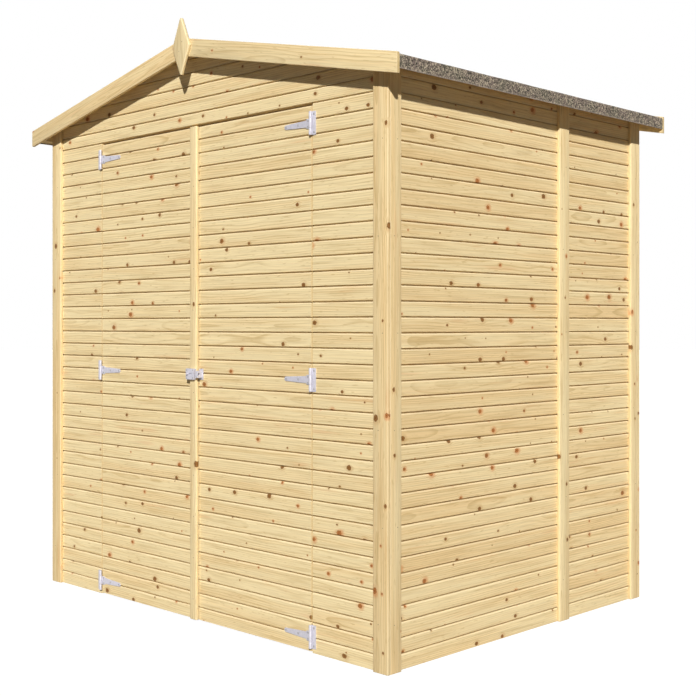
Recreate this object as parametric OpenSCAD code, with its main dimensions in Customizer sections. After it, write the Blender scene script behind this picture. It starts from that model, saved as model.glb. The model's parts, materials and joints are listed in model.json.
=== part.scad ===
// Apex garden shed with double doors. Millimetres, +Z up.
// The origin is on the ground at the middle of the walls, and the doors face -Y.

/* [Body] */
// Width over the corner trims
body_w = 1840; // [1450:10:2400]
// Depth over the corner trims
body_d = 1410; // [1100:10:2400]
// Height of the underside of the roof boards, above the outer faces of the side trims
eaves_h = 1814; // [1790:1:2300]
// Thickness of the wall boards
board_t = 12; // [8:1:22]
// Side of the square framing timber
frame_s = 34; // [26:1:60]
// Distance from the front face to the middle of the side cover strips
side_joint_y = 912; // [500:1:940]

/* [Trims] */
// Thickness of the corner trims and cover strips
trim_t = 12; // [8:1:20]
// Width of the trims on the front and back, which lap the side trims
front_trim_w = 60; // [40:1:100]
// Width of the trims on the sides, seen past the lap
side_trim_w = 48; // [30:1:90]
// Width of the cover strips over the panel joints
cover_w = 57; // [35:1:90]

/* [Doors] */
// Distance between the hinge lines of the two leaves
door_span = 1168; // [900:1:1240]
// Height of a course of boards
course_h = 48; // [44:1:49]
// Courses from the ground to the top of the doorway
door_courses = 36; // [30:1:36]
// Gap beside a leaf at its hinges
hinge_gap = 5; // [5:0.5:8]
// Gap over the leaves
top_gap = 6; // [5:0.5:10]
// Gap between the two leaves
meeting_gap = 3; // [3:0.5:10]
// Height of the leaves above the ground
ground_gap = 4; // [3:1:12]
// Width of the meeting strip on the left leaf
strip_w = 34; // [26:1:44]
// Distance of the meeting strip's middle to the left of the doorway's
strip_shift = 4; // [0:1:10]
// Height of a ledge on the back of a leaf
ledge_h = 78; // [60:1:84]
// Thickness of the ledges and braces
ledge_t = 20; // [15:1:24]
// Width of a brace
brace_w = 70; // [50:1:90]
// Distance of a ledge from the edges of its leaf
ledge_inset = 20; // [18:1:60]
// Width of the stops in the doorway
stop_w = 14; // [8:1:16]
// Thickness of the stops in the doorway
stop_t = 12; // [8:1:18]
// Clearance between a closed leaf and the stops behind it
stop_gap = 6; // [5:0.5:10]

/* [Hinges] */
// Height of a fixed hinge plate
plate_h = 74; // [50:1:90]
// Reach of the fixed plate from the pin
plate_w = 20; // [14:1:30]
// Reach of the strap from the pin
strap_l = 125; // [80:1:250]
// Height of the strap's head at the pin
strap_head_h = 31; // [24:1:40]
// Reach of the strap's head from the pin
strap_head_l = 22; // [12:1:40]
// Height of the strap beside its head
strap_base_h = 23; // [16:1:30]
// Height of the strap at its tip
strap_tip_h = 14; // [8:1:24]
// Thickness of the hinge metal
hinge_t = 2.5; // [1.5:0.5:4]
// Radius of the knuckles
knuckle_r = 5; // [4:0.5:7]
// Radius of the hinge pin
pin_r = 2.5; // [1.5:0.1:3]
// Distance of the pin's axis in front of the boards
pin_stand = 6.5; // [6:0.1:10]
// Height of the lowest hinge
low_hinge_z = 52; // [52:1:120]
// Distance of the top hinge below the top of the doorway
top_hinge_drop = 61; // [61:1:150]

/* [Latch] */
// Height of the latch's middle above the ground
latch_z = 861; // [500:1:1200]
// Height of the bolt's case and of the keeper
latch_h = 38; // [30:1:60]
// Width of the bolt's case on the left leaf
case_w = 44; // [44:1:80]
// Thickness of the bolt's case
case_t = 11; // [10:0.5:16]
// Width of the keeper plate on the right leaf
keeper_w = 22; // [22:1:60]
// Radius of the bolt
bolt_r = 3.5; // [3:0.5:4]
// Travel of the bolt
bolt_travel = 18; // [18:1:24]
// Radius of the bolt's knob
knob_r = 2.5; // [2:0.5:3]
// Reach of the knob past the front of the case
knob_out = 9; // [6:1:15]
// Length of the keeper's socket, along the bolt
socket_l = 14; // [10:1:20]
// Height of the keeper's socket
socket_h = 24; // [18:1:30]

/* [Floor] */
// Side of the square floor bearers
bearer_s = 44; // [35:1:75]
// Number of floor bearers, an odd number so that one runs down the middle
bearer_count = 5; // [3:2:9]
// Thickness of the floor boards
floor_t = 15; // [10:1:25]

/* [Roof] */
// Pitch of the roof in degrees
roof_pitch = 11.8; // [8:0.1:30]
// Thickness of the roof boards
roof_t = 12; // [8:1:22]
// Thickness of the felt
felt_t = 3; // [2:0.5:5]
// Overhang of the roof past the side trims
eaves_over = 78; // [50:1:150]
// Reach of the bargeboards' faces past the front and back trims
gable_over = 46; // [30:1:120]
// Width of the eaves battens
eaves_batten_w = 27; // [20:1:45]
// Height of the eaves battens
eaves_batten_h = 24; // [18:1:45]
// Width of the ridge beam
ridge_w = 34; // [28:1:60]
// Height of the ridge beam
ridge_h = 70; // [50:1:90]
// Width of the purlins
purlin_w = 34; // [28:1:60]
// Height of the purlins
purlin_h = 45; // [34:1:60]
// Height of the bargeboards, measured plumb
barge_h = 62; // [50:1:120]
// Thickness of the bargeboards
barge_t = 12; // [10:1:22]
// Rise of the bargeboards above the felt
barge_rise = 4; // [0:1:10]
// Joint between two bargeboards at the apex
barge_joint = 1; // [0.5:0.5:3]
// Width of the finials
finial_w = 94; // [60:1:140]
// Height of the finials
finial_h = 197; // [120:1:260]
// Thickness of the finials
finial_t = 12; // [8:1:22]
// Width of the blunt tips of the finials
finial_tip_w = 7; // [2:1:20]

/* [Hidden] */

$fn = 48;
wood = [0.90, 0.80, 0.58];
inner_wood = [0.84, 0.73, 0.52];
felt = [0.35, 0.34, 0.31];
zinc = [0.80, 0.82, 0.84];

// Clearance around a hinge pin, the bolt in its case and the knob in its slot
run_clear = 0.1;
// Clearance around the bolt in the keeper's socket
keeper_clear = 1;
// Clearance between the strap's knuckle and the fixed plate around it
knuckle_gap = 0.5;
// Distance of the hinge metal's edges from the pin's axis
pin_lap = 1;
// Distance of the drawn bolt's tip inside the case
bolt_set = 2;
// Distance of the drawn bolt's other end inside the case
bolt_end = 4;
// Distance of the knob's edge from the end of the bolt
knob_set = 7;
// Distance of the keeper from the closing edge of its leaf
keeper_set = 2;
// Joint left between the head stop and the side stops
stop_joint = 1;
// Length by which a cut runs past what it cuts
cut_past = 1;
// Joint left between a brace and the ledges that it runs between
brace_joint = 0.5;
// Joint left between the roof boards and what they rest on
roof_seat = 0.2;

// Planes of the side walls, as distances from the middle
side_face = body_w / 2;
side_out = side_face - trim_t;
side_in = side_out - board_t;
side_room = side_in - frame_s;
// Planes of the front and back walls, as distances from the middle
end_face = body_d / 2;
end_out = end_face - trim_t;
end_in = end_out - board_t;
end_room = end_in - frame_s;

// The doorway and its leaves
door_top = course_h * door_courses;
hinge_x = door_span / 2;
doorway_x = hinge_x + hinge_gap / 2;
leaf_x = hinge_x - hinge_gap / 2;
leaf_top = door_top - top_gap / 2;
head_z = door_top + top_gap / 2;
meeting_left = strip_w / 2 - strip_shift;
meeting_right = meeting_left + meeting_gap;
hinge_levels = [low_hinge_z, (low_hinge_z + door_top - top_hinge_drop) / 2,
                door_top - top_hinge_drop];
pin_y = -end_out - pin_stand;

// The latch: the bolt runs in a case on the face of the meeting strip
case_back = -end_face;
case_front = case_back - case_t;
bolt_y = case_back - case_t / 2;
bolt_tip_x = meeting_left - bolt_set;
bolt_l = case_w - bolt_set - bolt_end;
keeper_x = meeting_right + keeper_set;
socket_x = bolt_tip_x + bolt_travel - socket_l / 2;
knob_x = bolt_tip_x - bolt_l + knob_set + knob_r;

// The roof, as heights above the ground at a distance x from the middle
slope = tan(roof_pitch);
function roof_under(x) = eaves_h + (side_face - abs(x)) * slope;
function boards_under(x) = roof_under(x) + roof_seat;
function boards_top(x) = boards_under(x) + roof_t / cos(roof_pitch);
function felt_top(x) = boards_top(x) + felt_t / cos(roof_pitch);
function barge_top(x) = felt_top(x) + barge_rise;
eaves_x = side_face + eaves_over;
roof_x = eaves_x - felt_t;
barge_y = end_face + gable_over;
roof_y = barge_y - barge_t;
tie_z = head_z;
rafter_h = frame_s / cos(roof_pitch);

// The side walls: the joint of their panels, their studs and their rails
joint_y = side_joint_y - end_face;
stud_ys = [-end_room, joint_y - frame_s / 2, end_room - frame_s];
mid_rail_z = (head_z - frame_s) / 2;
plate_z = roof_under(side_in) - frame_s;

// A box between two corners
module block(x0, x1, y0, y1, z0, z1) {
    translate([x0, y0, z0]) cube([x1 - x0, y1 - y0, z1 - z0]);
}

// An outline drawn in X and Z, run along Y from y0 to y1
module run_y(outline, y0, y1) {
    translate([0, y1, 0]) rotate([90, 0, 0]) linear_extrude(y1 - y0) polygon(outline);
}

module both_sides() {
    children();
    mirror([1, 0, 0]) children();
}

module both_ends() {
    children();
    mirror([0, 1, 0]) children();
}

// A piece under the roof from x0 to x1: its top follows the roof and its bottom is level
module under_roof(x0, x1, y0, y1, z0) {
    run_y([[x0, z0], [x1, z0], [x1, roof_under(x1)], [x0, roof_under(x0)]], y0, y1);
}

// A piece hung under the roof boards from x0 to x1, with height h measured plumb
module hung(x0, x1, y0, y1, h) {
    run_y([[x0, roof_under(x0) - h], [x1, roof_under(x1) - h],
           [x1, roof_under(x1)], [x0, roof_under(x0)]], y0, y1);
}

// ---- Floor ----

module floor_bearers() {
    pitch_x = (2 * side_room - bearer_s) / (bearer_count - 1);
    color(inner_wood)
    for (i = [0 : bearer_count - 1]) {
        x = -side_room + i * pitch_x;
        block(x, x + bearer_s, -end_room, end_room, 0, bearer_s);
    }
}

module floor_deck() {
    color(inner_wood)
    block(-side_room, side_room, -end_room, end_room, bearer_s, bearer_s + floor_t);
}

// ---- Wall boards ----

module front_side_panel() {
    block(doorway_x, side_out, -end_out, -end_in, 0, head_z);
}

module front_wall_left() {
    color(wood) mirror([1, 0, 0]) front_side_panel();
}

module front_wall_right() {
    color(wood) front_side_panel();
}

module front_gable() {
    color(wood)
    run_y([[-side_out, head_z], [side_out, head_z], [side_out, roof_under(side_out)],
           [0, roof_under(0)], [-side_out, roof_under(side_out)]], -end_out, -end_in);
}

module side_panel(y0, y1) {
    under_roof(side_in, side_out, y0, y1, 0);
}

module right_wall_front() {
    color(wood) side_panel(-end_in, joint_y);
}

module right_wall_rear() {
    color(wood) side_panel(joint_y, end_in);
}

module left_wall_front() {
    color(wood) mirror([1, 0, 0]) side_panel(-end_in, joint_y);
}

module left_wall_rear() {
    color(wood) mirror([1, 0, 0]) side_panel(joint_y, end_in);
}

module back_panel() {
    under_roof(0, side_out, end_in, end_out, 0);
}

module back_wall_right() {
    color(wood) back_panel();
}

module back_wall_left() {
    color(wood) mirror([1, 0, 0]) back_panel();
}

// ---- Frames ----

// An upright on the front or back frame, between the bottom rail and the tie
module end_post(x0, x1, z0) {
    block(x0, x1, -end_in, -end_room, z0, tie_z);
}

// The short post over the tie that the ridge beam stands on
module king_post() {
    block(-ridge_w / 2, ridge_w / 2, -end_in, -end_room, tie_z + frame_s, roof_under(0) - ridge_h);
}

module front_posts() {
    color(inner_wood) {
        both_sides() {
            end_post(side_room, side_in, frame_s);
            end_post(doorway_x, doorway_x + frame_s, frame_s);
        }
        king_post();
    }
}

module tie() {
    block(-side_in, side_in, -end_in, -end_room, tie_z, tie_z + frame_s);
}

module rafters() {
    both_sides() hung(ridge_w / 2, side_in, -end_in, -end_room, rafter_h);
}

module front_rails() {
    color(inner_wood) {
        both_sides() block(doorway_x, side_in, -end_in, -end_room, 0, frame_s);
        tie();
        rafters();
    }
}

module door_stops() {
    y0 = -end_in + stop_gap;
    color(inner_wood) {
        both_sides() block(doorway_x - stop_w, doorway_x, y0, y0 + stop_t, ground_gap, head_z);
        block(stop_w + stop_joint - doorway_x, doorway_x - stop_w - stop_joint, y0, y0 + stop_t,
              head_z - stop_w, head_z);
    }
}

module back_studs() {
    color(inner_wood) mirror([0, 1, 0]) {
        both_sides() end_post(side_room, side_in, frame_s);
        end_post(-frame_s / 2, frame_s / 2, frame_s);
        king_post();
    }
}

module back_rails() {
    color(inner_wood) mirror([0, 1, 0]) {
        block(-side_in, side_in, -end_in, -end_room, 0, frame_s);
        tie();
        rafters();
    }
}

module side_studs() {
    color(inner_wood) both_sides()
    for (y = stud_ys) block(side_room, side_in, y, y + frame_s, frame_s, plate_z);
}

module side_rails() {
    color(inner_wood) both_sides() {
        block(side_room, side_in, -end_room, end_room, 0, frame_s);
        for (i = [0, 1])
            block(side_room, side_in, stud_ys[i] + frame_s, stud_ys[i + 1],
                  mid_rail_z, mid_rail_z + frame_s);
        under_roof(side_room, side_in, -end_room, end_room, plate_z);
    }
}

// ---- Trims and cover strips ----

module end_trims() {
    both_sides() under_roof(side_face - front_trim_w, side_face, -end_face, -end_out, 0);
}

module front_corner_trims() {
    color(wood) end_trims();
}

module back_corner_trims() {
    color(wood) mirror([0, 1, 0]) end_trims();
}

module side_corner_trims() {
    color(wood) both_sides() both_ends()
    under_roof(side_out, side_face, -end_out, -end_out + side_trim_w, 0);
}

module side_cover_strips() {
    color(wood) both_sides()
    under_roof(side_out, side_face, joint_y - cover_w / 2, joint_y + cover_w / 2, 0);
}

module back_cover_strip() {
    color(wood)
    run_y([[-cover_w / 2, 0], [cover_w / 2, 0], [cover_w / 2, roof_under(cover_w / 2)],
           [0, roof_under(0)], [-cover_w / 2, roof_under(cover_w / 2)]], end_out, end_face);
}

// ---- Door leaves ----

module door_left_boards() {
    color(wood) block(-leaf_x, meeting_left, -end_out, -end_in, ground_gap, leaf_top);
}

module door_right_boards() {
    color(wood) block(meeting_right, leaf_x, -end_out, -end_in, ground_gap, leaf_top);
}

module meeting_strip() {
    color(wood)
    block(meeting_left - strip_w, meeting_left, -end_face, -end_out, ground_gap, leaf_top);
}

// Three ledges and two braces between x0 and x1; the braces fall towards the hinge side
module ledges(x0, x1, hinge_on_left) {
    for (z = hinge_levels)
        block(x0, x1, -end_in, -end_in + ledge_t, z - ledge_h / 2, z + ledge_h / 2);
    low_x = hinge_on_left ? x0 : x1 - brace_w;
    high_x = hinge_on_left ? x1 - brace_w : x0;
    for (i = [0, 1]) {
        z0 = hinge_levels[i] + ledge_h / 2 + brace_joint;
        z1 = hinge_levels[i + 1] - ledge_h / 2 - brace_joint;
        run_y([[low_x, z0], [low_x + brace_w, z0], [high_x + brace_w, z1], [high_x, z1]],
              -end_in, -end_in + ledge_t);
    }
}

module door_left_ledges() {
    color(inner_wood) ledges(-leaf_x + ledge_inset, meeting_left - ledge_inset, true);
}

module door_right_ledges() {
    color(inner_wood) ledges(meeting_right + ledge_inset, leaf_x - ledge_inset, false);
}

// ---- Hinges, drawn for the right leaf with the pin on the Z axis ----

module knuckle(z0, z1) {
    translate([0, 0, z0]) cylinder(r = knuckle_r, h = z1 - z0);
}

// The fixed plate with its two knuckles and the pin, cut back around the strap's knuckle
module fixed_plate() {
    notch_h = strap_head_h + 2 * knuckle_gap;
    difference() {
        block(pin_lap, plate_w, pin_stand - hinge_t, pin_stand, -plate_h / 2, plate_h / 2);
        translate([0, 0, -notch_h / 2]) cylinder(r = knuckle_r + knuckle_gap, h = notch_h);
    }
    knuckle(notch_h / 2, plate_h / 2);
    knuckle(-plate_h / 2, -notch_h / 2);
    translate([0, 0, -plate_h / 2]) cylinder(r = pin_r, h = plate_h);
}

// The strap, with the middle knuckle that turns on the pin
module strap() {
    tip_r = strap_tip_h / 2;
    head = strap_head_h / 2;
    base = strap_base_h / 2;
    tip_x = tip_r - strap_l;
    difference() {
        union() {
            translate([0, pin_stand, 0]) rotate([90, 0, 0]) linear_extrude(hinge_t) {
                polygon([[-pin_lap, -head], [-pin_lap, head], [-strap_head_l, head], [-strap_head_l, base],
                         [tip_x, tip_r], [tip_x, -tip_r], [-strap_head_l, -base],
                         [-strap_head_l, -head]]);
                translate([tip_x, 0]) circle(r = tip_r);
            }
            knuckle(-head, head);
        }
        translate([0, 0, -strap_head_h]) cylinder(r = pin_r + run_clear, h = 2 * strap_head_h);
    }
}

// The same piece at each hinge; turned over, it serves the left leaf
module at_hinges(turn = 0) {
    x = turn == 0 ? hinge_x : -hinge_x;
    for (z = hinge_levels) translate([x, pin_y, z]) rotate([0, turn, 0]) children();
}

module right_hinge_plates() {
    color(zinc) at_hinges() fixed_plate();
}

module right_hinge_straps() {
    color(zinc) at_hinges() strap();
}

module left_hinge_plates() {
    color(zinc) at_hinges(180) fixed_plate();
}

module left_hinge_straps() {
    color(zinc) at_hinges(180) strap();
}

// ---- Latch ----

// The case, bored for the bolt and slotted in front for its knob
module bolt_case() {
    case_x = meeting_left - case_w;
    slot_half = knob_r + run_clear;
    color(zinc)
    difference() {
        block(case_x, meeting_left, case_front, case_back, latch_z - latch_h / 2,
              latch_z + latch_h / 2);
        translate([case_x - cut_past, bolt_y, latch_z]) rotate([0, 90, 0])
            cylinder(r = bolt_r + run_clear, h = case_w + 2 * cut_past);
        block(knob_x - slot_half, knob_x + bolt_travel + slot_half, case_front - cut_past, bolt_y,
              latch_z - slot_half, latch_z + slot_half);
    }
}

module bolt() {
    color(zinc) {
        translate([bolt_tip_x - bolt_l, bolt_y, latch_z]) rotate([0, 90, 0])
            cylinder(r = bolt_r, h = bolt_l);
        translate([knob_x, bolt_y, latch_z]) rotate([90, 0, 0])
            cylinder(r = knob_r, h = case_t / 2 + knob_out);
    }
}

// The keeper: a plate on the right leaf with a bored block as deep as the bolt's case
module keeper() {
    color(zinc)
    difference() {
        union() {
            block(keeper_x, keeper_x + keeper_w, -end_out - hinge_t, -end_out,
                  latch_z - latch_h / 2, latch_z + latch_h / 2);
            block(socket_x, socket_x + socket_l, case_front, -end_out - hinge_t,
                  latch_z - socket_h / 2, latch_z + socket_h / 2);
        }
        translate([socket_x - cut_past, bolt_y, latch_z]) rotate([0, 90, 0])
            cylinder(r = bolt_r + keeper_clear, h = socket_l + 2 * cut_past);
    }
}

// ---- Roof ----

module ridge_beam() {
    color(inner_wood)
    run_y([[-ridge_w / 2, roof_under(0) - ridge_h], [ridge_w / 2, roof_under(0) - ridge_h],
           [ridge_w / 2, roof_under(ridge_w / 2)], [0, roof_under(0)],
           [-ridge_w / 2, roof_under(ridge_w / 2)]], -end_in, end_in);
}

module purlins() {
    x0 = (ridge_w + side_room) / 2 - purlin_w / 2;
    color(inner_wood) both_sides() hung(x0, x0 + purlin_w, -end_room, end_room, purlin_h);
}

module eaves_battens() {
    color(wood) both_sides() hung(roof_x - eaves_batten_w, roof_x, -roof_y, roof_y, eaves_batten_h);
}

module roof_boards() {
    run_y([[0, boards_under(0)], [roof_x, boards_under(roof_x)],
           [roof_x, boards_top(roof_x)], [0, boards_top(0)]], -roof_y, roof_y);
}

module roof_boards_right() {
    color(inner_wood) roof_boards();
}

module roof_boards_left() {
    color(inner_wood) mirror([1, 0, 0]) roof_boards();
}

// Felt over the boards, folded down over the eaves batten
module roof_felt() {
    fold_z = roof_under(roof_x) - eaves_batten_h;
    run_y([[0, boards_top(0)], [roof_x, boards_top(roof_x)], [roof_x, fold_z],
           [eaves_x, fold_z], [eaves_x, felt_top(eaves_x)], [0, felt_top(0)]], -roof_y, roof_y);
}

module roof_felt_right() {
    color(felt) roof_felt();
}

module roof_felt_left() {
    color(felt) mirror([1, 0, 0]) roof_felt();
}

module barges() {
    x0 = barge_joint / 2;
    both_sides()
    run_y([[x0, barge_top(x0) - barge_h], [eaves_x, barge_top(eaves_x) - barge_h],
           [eaves_x, barge_top(eaves_x)], [x0, barge_top(x0)]], -barge_y, -roof_y);
}

module front_barges() {
    color(wood) barges();
}

module back_barges() {
    color(wood) mirror([0, 1, 0]) barges();
}

module finials() {
    mid_z = barge_top(0) - barge_h / 2;
    half = finial_w / 2;
    tip = finial_tip_w / 2;
    low = mid_z - finial_h / 2;
    high = mid_z + finial_h / 2;
    color(wood) both_ends()
    run_y([[-tip, low], [tip, low], [half, mid_z], [tip, high], [-tip, high], [-half, mid_z]],
          -barge_y - finial_t, -barge_y);
}

floor_bearers();
floor_deck();
front_wall_left();
front_wall_right();
front_gable();
left_wall_front();
left_wall_rear();
right_wall_front();
right_wall_rear();
back_wall_left();
back_wall_right();
front_posts();
front_rails();
door_stops();
side_studs();
side_rails();
back_studs();
back_rails();
front_corner_trims();
back_corner_trims();
side_corner_trims();
side_cover_strips();
back_cover_strip();
door_left_boards();
door_left_ledges();
meeting_strip();
door_right_boards();
door_right_ledges();
left_hinge_plates();
left_hinge_straps();
right_hinge_plates();
right_hinge_straps();
bolt_case();
bolt();
keeper();
ridge_beam();
purlins();
eaves_battens();
roof_boards_left();
roof_boards_right();
roof_felt_left();
roof_felt_right();
front_barges();
back_barges();
finials();
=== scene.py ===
"""Looks of a small apex garden shed: boards, framing, trims, felt, hinges, latch and fixings.

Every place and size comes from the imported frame. Lengths are in metres, +Z up, doors facing -Y.
"""
import json
import math
import random

import bmesh
import bpy
from bpy.props import (
    FloatProperty,
    FloatVectorProperty,
    IntProperty,
    PointerProperty,
)
from mathutils import Matrix, Vector, noise

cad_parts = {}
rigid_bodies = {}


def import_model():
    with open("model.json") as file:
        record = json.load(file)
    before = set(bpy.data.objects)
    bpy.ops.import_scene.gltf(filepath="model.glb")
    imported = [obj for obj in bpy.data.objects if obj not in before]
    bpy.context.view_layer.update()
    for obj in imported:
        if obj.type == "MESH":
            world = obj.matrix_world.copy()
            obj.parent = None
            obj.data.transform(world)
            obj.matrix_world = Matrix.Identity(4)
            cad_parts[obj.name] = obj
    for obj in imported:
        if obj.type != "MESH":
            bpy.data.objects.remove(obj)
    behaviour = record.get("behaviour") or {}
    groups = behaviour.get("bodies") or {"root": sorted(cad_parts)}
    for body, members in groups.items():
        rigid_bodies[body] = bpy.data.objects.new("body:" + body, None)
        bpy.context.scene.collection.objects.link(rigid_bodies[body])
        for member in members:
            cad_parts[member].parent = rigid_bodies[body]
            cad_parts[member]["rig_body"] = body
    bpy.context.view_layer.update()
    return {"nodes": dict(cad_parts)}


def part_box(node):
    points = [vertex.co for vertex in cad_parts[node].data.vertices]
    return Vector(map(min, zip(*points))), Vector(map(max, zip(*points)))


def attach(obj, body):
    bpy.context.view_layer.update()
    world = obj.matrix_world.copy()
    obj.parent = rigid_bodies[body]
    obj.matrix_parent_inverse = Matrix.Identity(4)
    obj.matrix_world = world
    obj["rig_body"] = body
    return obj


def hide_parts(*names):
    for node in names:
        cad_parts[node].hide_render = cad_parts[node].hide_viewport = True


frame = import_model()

bl_info = {
    "name": "Apex garden shed",
    "version": (1, 0, 0),
    "blender": (4, 5, 0),
    "location": "View3D > Sidebar > Shed",
    "description": "Boards, trims, felt and fittings of a small garden shed",
    "category": "Add Mesh",
}

MERGE = 0.00002
SMOOTH_ANGLE = math.radians(32)
# Heights in a board's section above this are measured down from the top edge
FROM_TOP = 0.5
# Share of the lower bevel that is left out where a run of boards starts at the ground
SQUARE_FOOT = 0.85
# An end of a board that no roof slope cuts
NO_APEX = 10.0
# Ranges of a board's tone, from 0 for the palest to 1 for the warmest
PALE_TONES = (0.0, 0.42)
WARM_TONES = (0.35, 0.95)
TRIM_TONES = (0.25, 0.75)
ALL_TONES = (0.0, 1.0)


# ---- Settings ----


def length(name, description, default):
    """A property that holds a length."""
    return FloatProperty(name=name, description=description, default=default, unit="LENGTH", precision=5)


def colour(name, description, default):
    """A property that holds a colour."""
    return FloatVectorProperty(
        name=name, description=description, default=default, subtype="COLOR", size=3, min=0, max=1
    )


class ShedBoardSettings(bpy.types.PropertyGroup):
    """Sizes of the tongued boards on the walls, doors, floor and roof."""

    course: length("Course", "Height of a course of wall boards", 0.048)
    floor_course: length("Floor board", "Width of a floor board", 0.094)
    roof_course: length("Roof board", "Width of a roof board", 0.094)
    upper_bevel: length("Upper bevel", "Height of the bevel on the upper edge of a board", 0.0042)
    lower_bevel: length("Lower bevel", "Height of the bevel on the lower edge of a board", 0.0018)
    bevel_depth: length("Bevel depth", "Depth of the bevels", 0.0029)
    slot_half: length("Half slot", "Half the open joint between two boards", 0.0016)
    slot_depth: length("Slot depth", "Depth of the open joint between two boards", 0.0080)
    back_edge: length("Back edge", "Bevel on the hidden edges of a board", 0.0006)
    end_bevel: length("End bevel", "Bevel on the front of a board's ends", 0.0010)
    play: length("Play", "How far a board's face may lie behind the wall's face", 0.0006)
    seed: IntProperty(name="Seed", description="Seed of the boards' variation", default=11, min=0)


class ShedTimberSettings(bpy.types.PropertyGroup):
    """Edges of the sawn timbers, trims and metal parts."""

    trim_edge: length("Trim edge", "Rounding of the planed trims", 0.0016)
    frame_edge: length("Frame edge", "Rounding of the framing timbers", 0.0022)
    metal_edge: length("Metal edge", "Rounding of the steel fittings", 0.0005)
    seed: IntProperty(name="Seed", description="Seed of the timbers' variation", default=23, min=0)


class ShedWoodSettings(bpy.types.PropertyGroup):
    """Colours and scale of the pine."""

    pale: colour("Pale", "Early wood, yellowish", (0.880, 0.722, 0.415))
    warm: colour("Warm", "Early wood, pinkish", (0.835, 0.615, 0.315))
    # Painted highlight: this lighter colour goes on the rounded and bevelled edges
    edge_highlight: colour("Fresh edge", "Planed edges, which are cut last", (0.940, 0.800, 0.520))
    late: colour("Late wood", "Darker lines of the grain", (0.500, 0.335, 0.120))
    # Painted shade: this darker colour stands for the shade inside the open joints between boards
    joint: colour("Joint", "Wood inside the joints, rough and resinous", (0.400, 0.235, 0.070))
    knot_rim: colour("Knot rim", "Stained wood round a knot", (0.640, 0.215, 0.055))
    knot: colour("Knot", "Body of a knot", (0.270, 0.118, 0.028))
    knot_heart: colour("Knot heart", "Middle of a knot", (0.120, 0.050, 0.011))
    frame_pale: colour("Sawn pale", "Sawn framing timber", (0.760, 0.585, 0.330))
    frame_warm: colour("Sawn warm", "Sawn framing timber, warmer", (0.700, 0.500, 0.270))
    ring: length("Ring", "Width of a growth ring", 0.0062)
    knot_spacing: length("Knot spacing", "Length of board for each likely knot", 0.140)
    knot_size: length("Knot size", "Mean radius of a knot", 0.0055)
    knot_share: FloatProperty(
        name="Knot share", description="Share of the likely knots that show", default=0.46
    )


class ShedFeltSettings(bpy.types.PropertyGroup):
    """Sizes and colours of the mineral felt."""

    base: colour("Base", "Colour of the mineral chips", (0.150, 0.134, 0.092))
    light: colour("Light chips", "Pale chips", (0.500, 0.420, 0.300))
    dark: colour("Dark chips", "Dark chips and bare bitumen", (0.036, 0.033, 0.022))
    tint: colour("Tinted chips", "Purplish chips", (0.190, 0.140, 0.115))
    edge: colour("Edge", "Chips along the bent and cut edge", (0.420, 0.350, 0.300))
    chip: length("Chip", "Size of a mineral chip", 0.0036)
    sheet: length("Sheet", "Thickness of the sheet", 0.0024)
    wave: length("Wave", "How far the sheet rises and falls", 0.0009)
    overhang: length("Overhang", "How far the cut edge hangs below the batten", 0.0044)
    ragged: length("Ragged edge", "How uneven the cut edge is", 0.0016)
    cap_half: length("Cap", "Half the width of the strip over the ridge", 0.140)
    cap_rise: length("Cap rise", "Height of the strip over the ridge above the felt", 0.0022)


class ShedFixingSettings(bpy.types.PropertyGroup):
    """Screws, nails and the colour of the steel."""

    zinc: colour("Zinc", "Galvanised steel", (0.660, 0.640, 0.700))
    zinc_dull: colour("Dull zinc", "Duller crystals of the zinc", (0.540, 0.530, 0.585))
    screw: colour("Screw", "Steel of the screws", (0.360, 0.350, 0.340))
    nail: colour("Nail", "Heads of the nails in the boards", (0.360, 0.270, 0.150))
    screw_radius: length("Screw", "Radius of a screw's head", 0.0040)
    small_radius: length("Small screw", "Radius of a small screw's head, on the latch", 0.0028)
    nail_radius: length("Nail", "Radius of a nail's head", 0.0016)
    clout_radius: length("Clout", "Radius of a felt nail's head", 0.0050)
    clout_spacing: length("Clout spacing", "Distance between felt nails", 0.120)
    seed: IntProperty(name="Seed", description="Seed of the fixings' variation", default=5, min=0)


class ShedStageSettings(bpy.types.PropertyGroup):
    """Floor, light and camera."""

    floor: colour("Floor", "Colour of the floor", (0.235, 0.212, 0.190))
    glow: colour("Glow", "Brightness added to the floor as seen, which makes it white", (0.865, 0.880, 0.895))
    sun: FloatProperty(name="Sun", description="Strength of the main light", default=4.12)
    back: FloatProperty(name="Back light", description="Strength of the light on the far sides", default=2.4)
    back_travel: FloatVectorProperty(
        name="Back travel", description="Direction in which the back light shines",
        default=(1.0, -1.15, -0.40)
    )
    sun_size: FloatProperty(
        name="Sun size", description="Angle of the main light", default=math.radians(1.6), subtype="ANGLE"
    )
    fill: FloatProperty(name="Fill", description="Strength of the light from all round", default=0.031)
    fill_colour: colour("Fill colour", "Colour of the light from all round", (1.0, 0.84, 0.70))
    sun_travel: FloatVectorProperty(
        name="Sun travel", description="Direction in which the main light shines", default=(-1.42, 1.45, -1.0)
    )
    eye: FloatVectorProperty(
        name="Camera", description="Place of the camera",
        default=(3.257, -3.245, 1.032), subtype="TRANSLATION"
    )
    heading: FloatProperty(
        name="Heading", description="Turn of the camera about Z", default=math.radians(44.56), subtype="ANGLE"
    )
    lens: FloatProperty(name="Lens", description="Focal length in millimetres", default=60.7)
    shift: FloatProperty(name="Shift", description="Vertical shift of the camera", default=-0.033)


# ---- Nodes ----


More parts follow.
